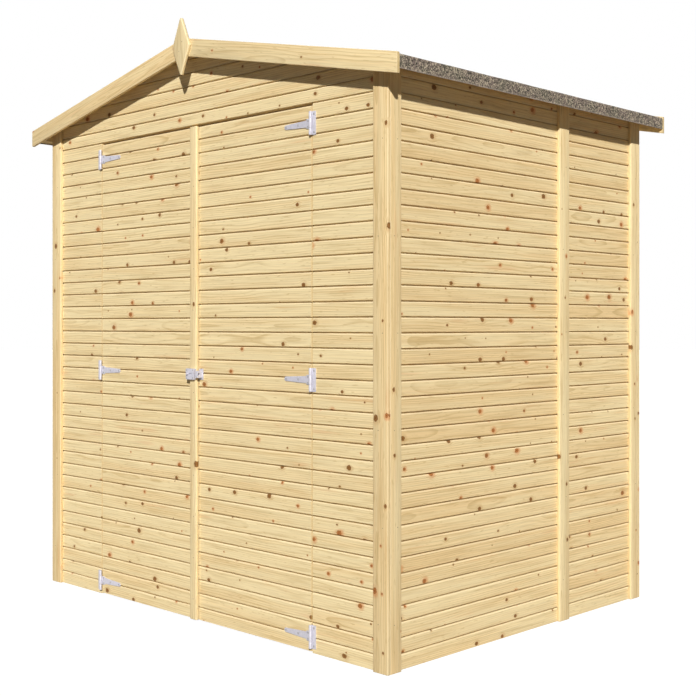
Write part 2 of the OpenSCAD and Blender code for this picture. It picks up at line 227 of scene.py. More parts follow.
class Nodes:
    """Adds nodes to one tree. A value given for a socket is either another socket or a constant."""

    step = 180

    def __init__(self, tree):
        self.tree = tree
        self.count = 0

    def put(self, socket, value):
        """Links a socket to the value, or sets the value on it."""
        if isinstance(value, bpy.types.NodeSocket):
            self.tree.links.new(value, socket)
        else:
            socket.default_value = value

    def add(self, kind, inputs=None, **settings):
        """A new node with these settings and these values on its named inputs."""
        node = self.tree.nodes.new(kind)
        node.location = (self.count * self.step, 0)
        self.count += 1
        for name, value in settings.items():
            setattr(node, name, value)
        for name, value in (inputs or {}).items():
            self.put(next(s for s in node.inputs if s.enabled and s.name == name), value)
        return node

    def out(self, node, name=None):
        """The node's output of that name, or its first."""
        return next(s for s in node.outputs if s.enabled and (name is None or s.name == name))

    def math(self, operation, *values):
        """A number worked out from other numbers."""
        node = self.add("ShaderNodeMath", operation=operation)
        for socket, value in zip(node.inputs, values):
            self.put(socket, value)
        return node.outputs[0]

    def vector(self, operation, *values):
        """A vector worked out from other vectors, or a number for a length."""
        node = self.add("ShaderNodeVectorMath", operation=operation)
        for socket, value in zip(node.inputs, values):
            self.put(socket, value)
        return self.out(node)

    def join(self, x, y, z):
        """A vector from three numbers."""
        return self.out(self.add("ShaderNodeCombineXYZ", {"X": x, "Y": y, "Z": z}))

    def split(self, vector):
        """The three numbers of a vector."""
        return self.add("ShaderNodeSeparateXYZ", {"Vector": vector}).outputs

    def ramp(self, value, low, high, start=0.0, end=1.0):
        """A smooth step of the value from low to high."""
        node = self.add(
            "ShaderNodeMapRange",
            {"Value": value, "From Min": low, "From Max": high, "To Min": start, "To Max": end},
            interpolation_type="SMOOTHSTEP",
        )
        return self.out(node)

    def noise(self, vector, scale=1.0, detail=2.0):
        """Soft noise between 0 and 1."""
        return self.out(self.add("ShaderNodeTexNoise", {"Vector": vector, "Scale": scale, "Detail": detail}))

    def blend(self, factor, a, b, blend_type="MIX"):
        """A colour between two colours."""
        node = self.add("ShaderNodeMix", data_type="RGBA", blend_type=blend_type)
        for name, value in (("Factor", factor), ("A", a), ("B", b)):
            self.put(next(s for s in node.inputs if s.enabled and s.name == name), value)
        return self.out(node)


def new_tree(name, kind, inputs, outputs):
    """A node tree with these named sockets, as (tree, Nodes, its inputs, its output node)."""
    tree = bpy.data.node_groups.new(name, kind)
    for socket, socket_type in inputs:
        tree.interface.new_socket(socket, in_out="INPUT", socket_type=socket_type)
    for socket, socket_type in outputs:
        tree.interface.new_socket(socket, in_out="OUTPUT", socket_type=socket_type)
    nodes = Nodes(tree)
    given = nodes.add("NodeGroupInput").outputs
    return tree, nodes, given, nodes.add("NodeGroupOutput")


def rgba(value):
    """A colour with full alpha."""
    return (*value, 1.0)


# ---- Materials ----


def pine_grain():
    """Shader group for pine: rings, fibres and knots from a board's own grain coordinates."""
    found = bpy.data.node_groups.get("Pine grain")
    if found:
        return found
    number, tint = "NodeSocketFloat", "NodeSocketColor"
    tree, n, given, result = new_tree(
        "Pine grain",
        "ShaderNodeTree",
        [("Grain", "NodeSocketVector"), ("Tone", number), ("Cut", number),
         ("Eased", number), ("Joint", number), ("Ring", number),
         ("Knot Spacing", number), ("Knot Size", number), ("Knot Share", number),
         ("Pale", tint), ("Warm", tint), ("Late", tint), ("Fresh", tint),
         ("Knot Rim", tint), ("Knot", tint), ("Knot Heart", tint), ("Joint Wood", tint)],
        [("Color", tint), ("Roughness", number), ("Height", number)],
    )
    row = 0.055
    u, v, w = n.split(given["Grain"])

    # The nearest likely knot, and how far away it is in radii of that knot
    cells = n.join(n.math("DIVIDE", u, given["Knot Spacing"]), n.math("DIVIDE", v, row), 0.0)
    cell = n.add("ShaderNodeTexVoronoi", {"Vector": cells, "Scale": 1.0, "Randomness": 0.9},
                 voronoi_dimensions="2D")
    chance, size, redness = n.split(n.out(cell, "Color"))
    knot_u, knot_v, _ = n.split(n.out(cell, "Position"))
    away_u = n.math("SUBTRACT", u, n.math("MULTIPLY", knot_u, given["Knot Spacing"]))
    away_v = n.math("SUBTRACT", v, n.math("MULTIPLY", knot_v, row))
    radius = n.math("MULTIPLY", given["Knot Size"],
                    n.math("ADD", 0.36, n.math("MULTIPLY", n.math("MULTIPLY", size, size), 1.10)))
    flat = n.vector("LENGTH", n.join(n.math("MULTIPLY", away_u, 0.80), away_v, 0.0))
    uneven = n.math("MULTIPLY", n.math("SUBTRACT", n.noise(given["Grain"], 210.0), 0.5), 0.8)
    near = n.math("ADD", n.math("DIVIDE", flat, radius), uneven)
    shows = n.math("LESS_THAN", chance, given["Knot Share"])
    red = n.ramp(redness, 0.45, 0.75)

    # Growth rings round the pith, whose depth wanders along the board, pushed aside by the knots
    halo = n.math("MULTIPLY", n.ramp(near, 4.2, 0.8), shows)
    pushed = n.math("SUBTRACT", v, n.math("MULTIPLY", away_v, n.math("MULTIPLY", halo, 0.85)))
    drift = n.noise(n.vector("MULTIPLY", given["Grain"], (2.2, 13.0, 13.0)), 1.0, 3.0)
    wander = n.noise(n.vector("MULTIPLY", given["Grain"], (1.9, 0.0, 0.0)), 1.0, 2.0)
    pith = n.math("ADD", w, n.math("MULTIPLY", n.math("SUBTRACT", wander, 0.5), 0.040))
    ring_at = n.math("ADD", n.vector("LENGTH", n.join(pushed, pith, 0.0)),
                     n.math("MULTIPLY", n.math("SUBTRACT", drift, 0.5), 0.014))
    phase = n.math("FRACT", n.math("DIVIDE", ring_at, given["Ring"]))
    late = n.math("MULTIPLY", n.ramp(phase, 0.50, 0.92), n.ramp(phase, 1.0, 0.93))

    # Broad bands, fine fibres and short flecks along the board
    broad = n.noise(n.vector("MULTIPLY", given["Grain"], (1.6, 30.0, 30.0)), 1.0, 3.0)
    fibre = n.noise(n.vector("MULTIPLY", given["Grain"], (7.0, 420.0, 420.0)), 1.0, 2.0)
    streak = n.noise(n.vector("MULTIPLY", given["Grain"], (5.0, 120.0, 120.0)), 1.0, 2.0)
    fleck = n.ramp(n.noise(n.vector("MULTIPLY", given["Grain"], (30.0, 230.0, 230.0)), 1.0, 1.0), 0.64, 0.76)
    blush = n.ramp(n.noise(n.vector("MULTIPLY", given["Grain"], (3.4, 42.0, 42.0)), 1.0, 2.0), 0.62, 0.78)

    warmth = n.math("ADD", n.math("MULTIPLY", given["Tone"], 0.80), n.ramp(broad, 0.30, 0.72, -0.2, 0.35))
    shade = n.blend(n.ramp(warmth, 0.0, 1.0), given["Pale"], given["Warm"])
    shade = n.blend(n.math("MULTIPLY", late, n.ramp(broad, 0.28, 0.70, 0.14, 0.50)), shade, given["Late"])
    shade = n.blend(n.ramp(streak, 0.50, 0.72, 0.0, 0.30), shade, given["Late"])
    shade = n.blend(n.math("MULTIPLY", fleck, 0.44), shade, given["Late"])
    shade = n.blend(n.math("MULTIPLY", blush, 0.22), shade, given["Knot Rim"])
    light = n.math("SUBTRACT", n.ramp(fibre, 0.25, 0.75, 0.91, 1.08),
                   n.math("MULTIPLY", n.math("SUBTRACT", given["Tone"], 0.5), 0.06))
    shade = n.blend(1.0, shade, n.join(light, light, light), "MULTIPLY")
    # Painted highlight: the rounded and bevelled edges are lightened
    shade = n.blend(n.math("MULTIPLY", given["Eased"], 0.45), shade, given["Fresh"])

    # The knots themselves: a stained rim, stronger on one side, a body with a dark edge and a heart
    one_side = n.ramp(n.math("DIVIDE", away_u, radius), -1.8, 1.8, 0.35, 1.0)
    stain = n.math("MULTIPLY", n.ramp(near, 3.0, 1.0), n.math("MULTIPLY", shows, one_side))
    core = n.math("MULTIPLY", n.ramp(near, 1.18, 0.92), shows)
    edge = n.math("MULTIPLY", n.math("MULTIPLY", n.ramp(near, 1.15, 0.95), n.ramp(near, 0.60, 0.90)), shows)
    heart = n.math("MULTIPLY", n.ramp(near, 0.55, 0.10), shows)
    stained = n.blend(n.ramp(red, 0.0, 1.0, 0.35, 1.0), given["Late"], given["Knot Rim"])
    shade = n.blend(n.math("MULTIPLY", stain, n.ramp(red, 0.0, 1.0, 0.38, 0.66)), shade, stained)
    body = n.blend(n.math("MULTIPLY", red, 0.60), given["Knot"], given["Knot Rim"])
    shade = n.blend(n.math("MULTIPLY", core, 0.96), shade, body)
    shade = n.blend(n.math("MULTIPLY", edge, 0.45), shade, given["Knot Heart"])
    shade = n.blend(n.math("MULTIPLY", heart, 0.70), shade, given["Knot Heart"])
    shade = n.blend(n.math("MULTIPLY", given["Cut"], 0.46), shade, given["Late"])
    # Painted shade inside the open joints between boards
    shade = n.blend(n.math("MULTIPLY", given["Joint"], 0.34), shade, given["Joint Wood"])

    n.put(result.inputs["Color"], shade)
    n.put(result.inputs["Roughness"], n.math("SUBTRACT", n.ramp(fibre, 0.2, 0.8, 0.60, 0.74),
                                             n.math("MULTIPLY", core, 0.08)))
    n.put(result.inputs["Height"], n.math("ADD", n.math("MULTIPLY", late, 0.5),
                                          n.math("MULTIPLY", fibre, 0.6)))
    return tree


def new_material(name):
    """An empty material, as (material, Nodes, its Principled BSDF)."""
    material = bpy.data.materials.new(name)
    material.use_nodes = True
    n = Nodes(material.node_tree)
    return material, n, material.node_tree.nodes["Principled BSDF"]


def bump(n, height, strength, distance):
    """The normal of a surface with that height."""
    return n.out(n.add("ShaderNodeBump", {"Height": height, "Strength": strength, "Distance": distance}))


def pine(name, pale, warm, ring, roughness_lift):
    """Pine in these two early wood colours."""
    found = bpy.data.materials.get(name)
    if found:
        return found
    wood = bpy.context.scene.shed_wood
    material, n, shader = new_material(name)
    grain = n.add("ShaderNodeGroup", node_tree=pine_grain())
    values = {
        "Grain": n.out(n.add("ShaderNodeAttribute", attribute_name="grain"), "Vector"),
        "Tone": n.out(n.add("ShaderNodeAttribute", attribute_name="tone"), "Fac"),
        "Cut": n.out(n.add("ShaderNodeAttribute", attribute_name="cut"), "Fac"),
        # Eased marks the rounded and bevelled edges for the painted highlight
        "Eased": n.out(n.add("ShaderNodeAttribute", attribute_name="eased"), "Fac"),
        "Fresh": rgba(wood.edge_highlight),
        # Joint marks the faces inside the open joints for the painted shade
        "Joint": n.out(n.add("ShaderNodeAttribute", attribute_name="joint"), "Fac"),
        "Joint Wood": rgba(wood.joint),
        "Ring": ring, "Knot Spacing": wood.knot_spacing, "Knot Size": wood.knot_size,
        "Knot Share": wood.knot_share, "Pale": rgba(pale), "Warm": rgba(warm), "Late": rgba(wood.late),
        "Knot Rim": rgba(wood.knot_rim), "Knot": rgba(wood.knot), "Knot Heart": rgba(wood.knot_heart),
    }
    for socket, value in values.items():
        n.put(grain.inputs[socket], value)
    n.put(shader.inputs["Base Color"], grain.outputs["Color"])
    n.put(shader.inputs["Roughness"], n.math("ADD", grain.outputs["Roughness"], roughness_lift))
    n.put(shader.inputs["Normal"], bump(n, grain.outputs["Height"], 0.28, 0.0006))
    shader.inputs["Specular IOR Level"].default_value = 0.22
    return material


def planed_pine():
    """Planed pine of the boards and trims."""
    wood = bpy.context.scene.shed_wood
    return pine("Planed pine", wood.pale, wood.warm, wood.ring, 0.0)


def sawn_pine():
    """Sawn pine of the frames, the floor and the roof boards."""
    wood = bpy.context.scene.shed_wood
    return pine("Sawn pine", wood.frame_pale, wood.frame_warm, wood.ring, 0.12)


def mineral_felt():
    """Bitumen felt faced with mineral chips."""
    found = bpy.data.materials.get("Mineral felt")
    if found:
        return found
    felt = bpy.context.scene.shed_felt
    material, n, shader = new_material("Mineral felt")
    place = n.out(n.add("ShaderNodeTexCoord"), "Object")
    chips = n.add("ShaderNodeTexVoronoi", {"Vector": place, "Scale": 1.0 / felt.chip, "Randomness": 1.0})
    pick, hue, _ = n.split(n.out(chips, "Color"))
    worn = n.noise(place, 14.0, 4.0)
    mottle = n.noise(place, 110.0, 2.0)
    shade = n.blend(n.ramp(worn, 0.35, 0.65), rgba(felt.base), rgba(felt.tint))
    shade = n.blend(n.ramp(n.math("ADD", pick, n.math("MULTIPLY", mottle, 0.9)), 0.98, 1.34), shade,
                    rgba(felt.light))
    shade = n.blend(n.ramp(n.math("ADD", pick, n.math("MULTIPLY", mottle, 0.9)), 0.86, 0.48), shade,
                    rgba(felt.dark))
    shade = n.blend(n.math("MULTIPLY", n.ramp(hue, 0.7, 0.9), 0.45), shade, rgba(felt.tint))
    edge = n.out(n.add("ShaderNodeAttribute", attribute_name="edge"), "Fac")
    shade = n.blend(n.math("MULTIPLY", edge, 0.55), shade, rgba(felt.edge))
    n.put(shader.inputs["Base Color"], shade)
    n.put(shader.inputs["Roughness"], n.ramp(pick, 0.0, 1.0, 0.97, 0.78))
    height = n.math("SUBTRACT", n.math("MULTIPLY", pick, 0.6), n.out(chips, "Distance"))
    n.put(shader.inputs["Normal"], bump(n, height, 0.8, 0.0011))
    return material


def zinc_steel():
    """Galvanised steel with the faint crystals of its zinc."""
    found = bpy.data.materials.get("Zinc steel")
    if found:
        return found
    fixing = bpy.context.scene.shed_fixings
    material, n, shader = new_material("Zinc steel")
    place = n.out(n.add("ShaderNodeTexCoord"), "Object")
    crystals = n.add("ShaderNodeTexVoronoi", {"Vector": place, "Scale": 170.0})
    pick, _, _ = n.split(n.out(crystals, "Color"))
    cloud = n.noise(place, 60.0, 4.0)
    dull = n.math("ADD", n.math("MULTIPLY", pick, 0.4), n.math("MULTIPLY", cloud, 0.5))
    n.put(shader.inputs["Base Color"], n.blend(dull, rgba(fixing.zinc), rgba(fixing.zinc_dull)))
    n.put(shader.inputs["Roughness"], n.ramp(dull, 0.1, 0.9, 0.62, 0.80))
    n.put(shader.inputs["Normal"], bump(n, n.noise(place, 700.0, 3.0), 0.10, 0.0003))
    shader.inputs["Metallic"].default_value = 0.45
    return material


def head_steel(name, body, share):
    """Steel of that colour with a share of bare zinc, for the heads of screws and nails."""
    found = bpy.data.materials.get(name)
    if found:
        return found
    fixing = bpy.context.scene.shed_fixings
    material, n, shader = new_material(name)
    place = n.out(n.add("ShaderNodeTexCoord"), "Object")
    stain = n.noise(place, 900.0, 3.0)
    colour = n.blend(n.math("MULTIPLY", stain, share), rgba(body), rgba(fixing.zinc_dull))
    n.put(shader.inputs["Base Color"], colour)
    n.put(shader.inputs["Roughness"], n.ramp(stain, 0.2, 0.8, 0.45, 0.75))
    shader.inputs["Metallic"].default_value = 0.35
    return material


# ---- Meshes ----


def link(name, mesh):
    """A new object at the origin that shows this mesh."""
    piece = bpy.data.objects.new(name, mesh)
    bpy.context.scene.collection.objects.link(piece)
    return piece


def finish_mesh(mesh):
    """Smooth faces with sharp edges past the smoothing angle."""
    for face in mesh.polygons:
        face.use_smooth = True
    mesh.set_sharp_from_angle(angle=SMOOTH_ANGLE)


def piece_from(name, build, material):
    """A piece whose mesh is the bmesh, in that material."""
    mesh = bpy.data.meshes.new(name)
    build.to_mesh(mesh)
    build.free()
    mesh.materials.append(material)
    finish_mesh(mesh)
    return link(name, mesh)


def place(piece, node, slot):
    """The piece stands for the CAD node, which it hides, and rides on its body. The slot is not used."""
    body = frame["nodes"][node]["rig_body"]
    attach(piece, body)
    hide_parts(node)


def add_to_body(piece, body):
    """The piece rides on the body, beside the CAD nodes."""
    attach(piece, body)


def merged_copy(node):
    """A bmesh of the CAD node with its loose triangles joined and its flat faces made whole."""
    build = bmesh.new()
    build.from_mesh(frame["nodes"][node].data)
    bmesh.ops.remove_doubles(build, verts=build.verts, dist=MERGE)
    bmesh.ops.dissolve_limit(build, angle_limit=math.radians(0.4), verts=build.verts, edges=build.edges)
    return build


def islands(build):
    """The vertices of each separate solid, as lists."""
    left = set(build.verts)
    groups = []
    for start in build.verts:
        if start not in left:
            continue
        group, queue = [], [start]
        left.discard(start)
        while queue:
            vert = queue.pop()
            group.append(vert)
            for edge in vert.link_edges:
                other = edge.other_vert(vert)
                if other in left:
                    left.discard(other)
                    queue.append(other)
        groups.append(group)
    return groups


def corners(points):
    """Lowest and highest corner of some points."""
    low = Vector([min(p[i] for p in points) for i in range(3)])
    high = Vector([max(p[i] for p in points) for i in range(3)])
    return low, high


def solid_boxes(node):
    """The corners of each solid of a CAD node, from the lowest up."""
    build = merged_copy(node)
    boxes = [corners([v.co.copy() for v in group]) for group in islands(build)]
    build.free()
    return sorted(boxes, key=lambda box: (box[0].z, box[0].x, box[0].y))


def node_points(node):
    """The corners of a CAD node's mesh."""
    return [v.co.copy() for v in frame["nodes"][node].data.vertices]


# ---- Timbers ----


def timber_axes(group, along):
    """The directions of a timber's length, width and thickness."""
    edges = {edge for vert in group for edge in vert.link_edges}
    faces = {face for vert in group for face in vert.link_faces}
    if along is None:
        longest = max(edges, key=lambda edge: edge.calc_length())
        along = (longest.verts[1].co - longest.verts[0].co).normalized()
    flank = max(faces, key=lambda face: face.calc_area() * (abs(face.normal.dot(along)) < 0.5))
    thick = (flank.normal - along * flank.normal.dot(along)).normalized()
    return along, thick.cross(along), thick


def write_grain(build, draw, tones, along=None):
    """Gives each solid of the bmesh the grain, tone and cut attributes that pine reads."""
    grain = build.verts.layers.float_vector.new("grain")
    tone = build.verts.layers.float.new("tone")
    cut = build.faces.layers.float.new("cut")
    for group in islands(build):
        axes = timber_axes(group, along)
        origin = sum((v.co for v in group), Vector()) / len(group)
        start = Vector((draw.uniform(0, 60), draw.uniform(-0.07, 0.03), draw.uniform(0.012, 0.05)))
        shade = draw.uniform(*tones)
        for vert in group:
            vert[grain] = start + Vector([(vert.co - origin).dot(axis) for axis in axes])
            vert[tone] = shade
        for face in {face for vert in group for face in vert.link_faces}:
            face[cut] = float(abs(face.normal.dot(axes[0])) > 0.85)


def round_edges(build, radius, segments=2):
    """Rounds the sharp edges of every solid, and gives the faces that this makes."""
    sharp = [e for e in build.edges if len(e.link_faces) == 2 and e.calc_face_angle() > SMOOTH_ANGLE]
    return bmesh.ops.bevel(build, geom=sharp, offset=radius, segments=segments, profile=0.6, affect="EDGES",
                           clamp_overlap=True)["faces"]


def timber(node, slot, material, radius, draw, tones, along=None):
    """Replaces a CAD node with its timbers, their edges rounded and their grain run lengthways."""
    build = merged_copy(node)
    eased = build.faces.layers.float.new("eased")
    # The rounded edges are marked for the painted highlight
    for face in round_edges(build, radius):
        face[eased] = 1.0
    write_grain(build, draw, tones, along)
    place(piece_from(node + "_timber", build, material), node, slot)


# ---- Boards ----


def board_section(thickness, bevel, sizes):
    """A board's section at one edge with that bevel, as (depth, distance from the edge)."""
    return [
        (thickness, sizes.back_edge),
        (thickness - sizes.back_edge, 0.0),
        (sizes.slot_depth, 0.0),
        (sizes.slot_depth, sizes.slot_half),
        (sizes.bevel_depth, sizes.slot_half),
        (0.0, sizes.slot_half + bevel),
    ]


def board_pattern(name, thickness, sizes):
    """A board one unit long, whose upper heights count down from 1, for the board run to stretch."""
    lower = board_section(thickness, sizes.lower_bevel, sizes)
    upper = board_section(thickness, sizes.upper_bevel, sizes)
    outline = lower + [(depth, 1.0 - rise) for depth, rise in reversed(upper)]
    build = bmesh.new()
    rings = [[build.verts.new((end, depth, height)) for depth, height in outline] for end in (0.0, 1.0)]
    eased = build.faces.layers.float.new("eased")
    joint = build.faces.layers.float.new("joint")
    count = len(outline)
    for i in range(count):
        j = (i + 1) % count
        side = build.faces.new((rings[0][i], rings[0][j], rings[1][j], rings[1][i]))
        shallow, deep = sorted((outline[i][0], outline[j][0]))
        # Bevel faces are marked for the painted highlight
        side[eased] = float((shallow, deep) == (0.0, sizes.bevel_depth))
        # Faces inside the open joint are marked for the painted shade
        side[joint] = float(shallow >= sizes.bevel_depth and deep <= sizes.slot_depth)
    for ring in rings:
        # The part of an end in front of the joint is a face of its own, which the board run leans back
        front = [vert for vert in ring if vert.co.y <= sizes.bevel_depth]
        # The front part of each end is marked for the painted highlight
        build.faces.new(front)[eased] = 1.0
        build.faces.new([vert for vert in ring if vert.co.y >= sizes.bevel_depth])
    bmesh.ops.recalc_face_normals(build, faces=build.faces)
    mesh = bpy.data.meshes.new(name)
    build.to_mesh(mesh)
    build.free()
    return link(name, mesh)


def board_run():
    """Geometry Nodes tree that stacks courses of boards, cuts them to a gable and turns them in place."""
    found = bpy.data.node_groups.get("Board run")
    if found:
        return found
    number = "NodeSocketFloat"
    tree, n, given, result = new_tree(
        "Board run",
        "GeometryNodeTree",
        [("Geometry", "NodeSocketGeometry"), ("Board", "NodeSocketObject"), ("Courses", "NodeSocketInt"),
         ("Course", number), ("Start", number), ("Square Foot", number), ("Bottom", number),
         ("Top", number), ("Lean", number),
         ("Left", number), ("Right", number), ("End Lean", number), ("End Bevel", number), ("Apex", number),
         ("Slope", number),
         ("Face", number), ("Tone Low", number), ("Tone High", number), ("Play", number),
         ("Seed", "NodeSocketInt"), ("Turn", "NodeSocketVector"),
         ("Material", "NodeSocketMaterial")],
        [("Geometry", "NodeSocketGeometry")],
    )

    # One board for each course, which remembers its course
    line = n.out(n.add("GeometryNodeMeshLine", {"Count": given["Courses"], "Offset": (0.0, 0.0, 0.0)}))
    index = n.out(n.add("GeometryNodeInputIndex"))
    line = n.out(n.add("GeometryNodeStoreNamedAttribute",
                       {"Geometry": line, "Name": "course", "Value": index},
                       data_type="INT", domain="POINT"))
    board = n.out(n.add("GeometryNodeObjectInfo", {"Object": given["Board"]}), "Geometry")
    boards = n.out(n.add("GeometryNodeInstanceOnPoints", {"Points": line, "Instance": board}))
    boards = n.out(n.add("GeometryNodeRealizeInstances", {"Geometry": boards}))
    course = n.out(n.add("GeometryNodeInputNamedAttribute", {"Name": "course"}, data_type="INT"))

    def chance(low, high, salt):
        """A number drawn once for each course."""
        seed = n.math("ADD", given["Seed"], salt)
        return n.out(n.add("FunctionNodeRandomValue", {"Min": low, "Max": high, "ID": course, "Seed": seed},
                           data_type="FLOAT"))

    # Height: the lower points of a board hang on its bottom edge and the upper ones on its top edge
    end, depth, height = n.split(n.out(n.add("GeometryNodeInputPosition")))
    base = n.math("ADD", given["Start"], n.math("MULTIPLY", course, given["Course"]))
    bottom = n.math("MAXIMUM", given["Bottom"], base)
    last = n.math("GREATER_THAN", course, n.math("SUBTRACT", given["Courses"], 1.5))
    plain_top = n.math("ADD", base, given["Course"])
    top_gain = n.math("SUBTRACT", n.math("ADD", given["Top"], n.math("MULTIPLY", given["Lean"], depth)),
                      plain_top)
    top = n.math("ADD", plain_top, n.math("MULTIPLY", last, top_gain))
    upper = n.math("GREATER_THAN", height, FROM_TOP)
    cut_foot = n.math("MULTIPLY", n.math("LESS_THAN", course, 0.5), given["Square Foot"])
    low_z = n.math("ADD", bottom, n.math("MULTIPLY", height, n.math("SUBTRACT", 1.0, cut_foot)))
    high_z = n.math("SUBTRACT", top, n.math("SUBTRACT", 1.0, height))
    z = n.math("ADD", low_z, n.math("MULTIPLY", upper, n.math("SUBTRACT", high_z, low_z)))

    # Length: the ends stop at the panel's ends or at the slopes of the gable
    half = n.math("MAXIMUM", 0.0, n.math("DIVIDE", n.math("SUBTRACT", given["Apex"], z), given["Slope"]))
    left = n.math("MAXIMUM", given["Left"], n.math("MULTIPLY", half, -1.0))
    right = n.math("MINIMUM", given["Right"], half)
    x = n.math("ADD", left, n.math("MULTIPLY", end, n.math("SUBTRACT", right, left)))
    x = n.math("ADD", x, n.math("MULTIPLY", depth, given["End Lean"]))
    inward = n.math("SUBTRACT", 1.0, n.math("MULTIPLY", end, 2.0))
    face = n.math("LESS_THAN", depth, MERGE)
    x = n.math("ADD", x, n.math("MULTIPLY", n.math("MULTIPLY", face, inward), given["End Bevel"]))

    # Depth: a board's face may lie a little behind the wall's
    front = n.math("LESS_THAN", depth, 0.004)
    set_back = n.math("MULTIPLY", given["Play"], chance(0.0, 1.0, 1))
    y = n.math("ADD", depth, n.math("MULTIPLY", front, set_back))

    grain = n.join(n.math("ADD", x, chance(0.0, 60.0, 2)),
                   n.math("ADD", n.math("SUBTRACT", z, base), chance(-0.140, -0.020, 3)),
                   n.math("ADD", y, chance(0.010, 0.060, 4)))
    for name, kind, domain, value in (
        ("grain", "FLOAT_VECTOR", "POINT", grain),
        ("tone", "FLOAT", "POINT", chance(given["Tone Low"], given["Tone High"], 5)),
    ):
        boards = n.out(n.add("GeometryNodeStoreNamedAttribute",
                             {"Geometry": boards, "Name": name, "Value": value},
                             data_type=kind, domain=domain))
    normal_x = n.split(n.out(n.add("GeometryNodeInputNormal")))[0]
    cut = n.math("GREATER_THAN", n.math("ABSOLUTE", normal_x), 0.6)
    boards = n.out(n.add("GeometryNodeStoreNamedAttribute", {"Geometry": boards, "Name": "cut", "Value": cut},
                         data_type="FLOAT", domain="FACE"))

    turn = n.out(n.add("FunctionNodeEulerToRotation", {"Euler": given["Turn"]}))
    spot = n.join(x, n.math("ADD", y, given["Face"]), z)
    spot = n.out(n.add("FunctionNodeRotateVector", {"Vector": spot, "Rotation": turn}))
    boards = n.out(n.add("GeometryNodeSetPosition", {"Geometry": boards, "Position": spot}))
    boards = n.out(n.add("GeometryNodeMergeByDistance", {"Geometry": boards, "Distance": MERGE}))
    boards = n.out(n.add("GeometryNodeRealizeInstances", {"Geometry": boards}))
    boards = n.out(n.add("GeometryNodeSetMaterial", {"Geometry": boards, "Material": given["Material"]}))
    n.put(result.inputs["Geometry"], boards)
    return tree


def run_tree(name, host_mesh, tree, values):
    """The mesh that a Geometry Nodes tree makes from the host mesh with these named inputs."""
    host = link(name + "_host", host_mesh)
    modifier = host.modifiers.new("Nodes", "NODES")
    modifier.node_group = tree
    sockets = {s.name: s.identifier for s in tree.interface.items_tree
               if s.item_type == "SOCKET" and s.in_out == "INPUT"}
    for key, value in values.items():
        modifier[sockets[key]] = value
    graph = bpy.context.evaluated_depsgraph_get()
    graph.update()
    mesh = bpy.data.meshes.new_from_object(host.evaluated_get(graph), depsgraph=graph)
    mesh.name = name
    host.modifiers.remove(modifier)
    bpy.data.objects.remove(host)
    return mesh


def axes_matrix(u, depth, up):
    """The turn from a board run's own axes to these axes."""
    return Matrix((u, depth, up)).transposed()


def wall_turn(degrees):
    """The turn of a wall: 0 for the front, 90 for the right side, 180 for the back, -90 for the left."""
    return Matrix.Rotation(math.radians(degrees), 3, "Z")


def panel_shape(node, turn):
    """How a CAD slab measures along a board run's axes, with the slopes of its gable."""
    points = [turn.transposed() @ p for p in node_points(node)]
    low, high = corners(points)
    outer = corners([p for p in points if p.y < low.y + MERGE])
    inner = corners([p for p in points if p.y > high.y - MERGE])
    thickness = high.y - low.y
    shape = {"Left": outer[0].x, "Right": outer[1].x, "End Lean": (inner[1].x - outer[1].x) / thickness,
             "Face": low.y, "Bottom": low.z, "Top": outer[1].z, "Lean": (inner[1].z - outer[1].z) / thickness,
             "Apex": NO_APEX, "Slope": 1.0}
    peak = [p for p in points if p.z > high.z - MERGE]
    if max(abs(p.x) for p in peak) < MERGE:
        edge = max(points, key=lambda p: (round(abs(p.x), 4), p.z))
        shape["Apex"] = high.z
        shape["Slope"] = (high.z - edge.z) / abs(edge.x)
    return shape, thickness


def board_slab(node, slot, material, turn, course, tones, start=None):
    """Replaces a CAD slab with courses of boards whose tones lie between these two."""
    sizes = bpy.context.scene.shed_boards
    shape, thickness = panel_shape(node, turn)
    if start is None:
        start = shape["Bottom"]
    else:
        start += course * math.floor((shape["Bottom"] - start) / course)
    # A last course thinner than a quarter of a board joins the one below it
    courses = math.ceil((max(shape["Top"], shape["Bottom"]) - start) / course - 0.25)
    pattern = board_pattern(node + "_pattern", thickness, sizes)
    seed = sizes.seed + 100 * sorted(frame["nodes"]).index(node)
    mesh = run_tree(node + "_courses", bpy.data.meshes.new(node), board_run(), {
        "Board": pattern, "Courses": courses, "Course": course, "Start": start, "Play": sizes.play,
        "End Bevel": sizes.end_bevel,
        "Square Foot": SQUARE_FOOT if shape["Bottom"] < course and start == 0.0 else 0.0,
        "Seed": seed, "Turn": turn.to_euler(), "Material": material, "Tone Low": tones[0],
        "Tone High": tones[1], **shape,
    })
    bpy.data.objects.remove(pattern)
    finish_mesh(mesh)
    place(link(mesh.name, mesh), node, slot)


# ---- Heads of screws and nails ----


def screw_head(name, radius):
    """A domed head with a cross-shaped recess, facing +Z."""
    build = bmesh.new()
    sides = 16
    dome, recess = radius * 0.34, radius * 0.20

    def ring(radii, height):
        return [build.verts.new((radii[i % len(radii)] * math.cos(math.tau * i / sides),
                                 radii[i % len(radii)] * math.sin(math.tau * i / sides), height))
                for i in range(sides)]

    star = (radius * 0.60, radius * 0.20, radius * 0.17, radius * 0.20)
    rings = [ring((radius,), -radius * 0.4), ring((radius,), 0.0), ring((radius * 0.86,), dome * 0.72),
             ring(star, dome), ring(star, recess)]
    for lower, higher in zip(rings, rings[1:]):
        for i in range(sides):
            j = (i + 1) % sides
            build.faces.new((lower[i], lower[j], higher[j], higher[i]))
    build.faces.new(rings[-1])
    build.faces.new(list(reversed(rings[0])))
    bmesh.ops.recalc_face_normals(build, faces=build.faces)
    mesh = bpy.data.meshes.new(name)
    build.to_mesh(mesh)
    build.free()
    return link(name, mesh)


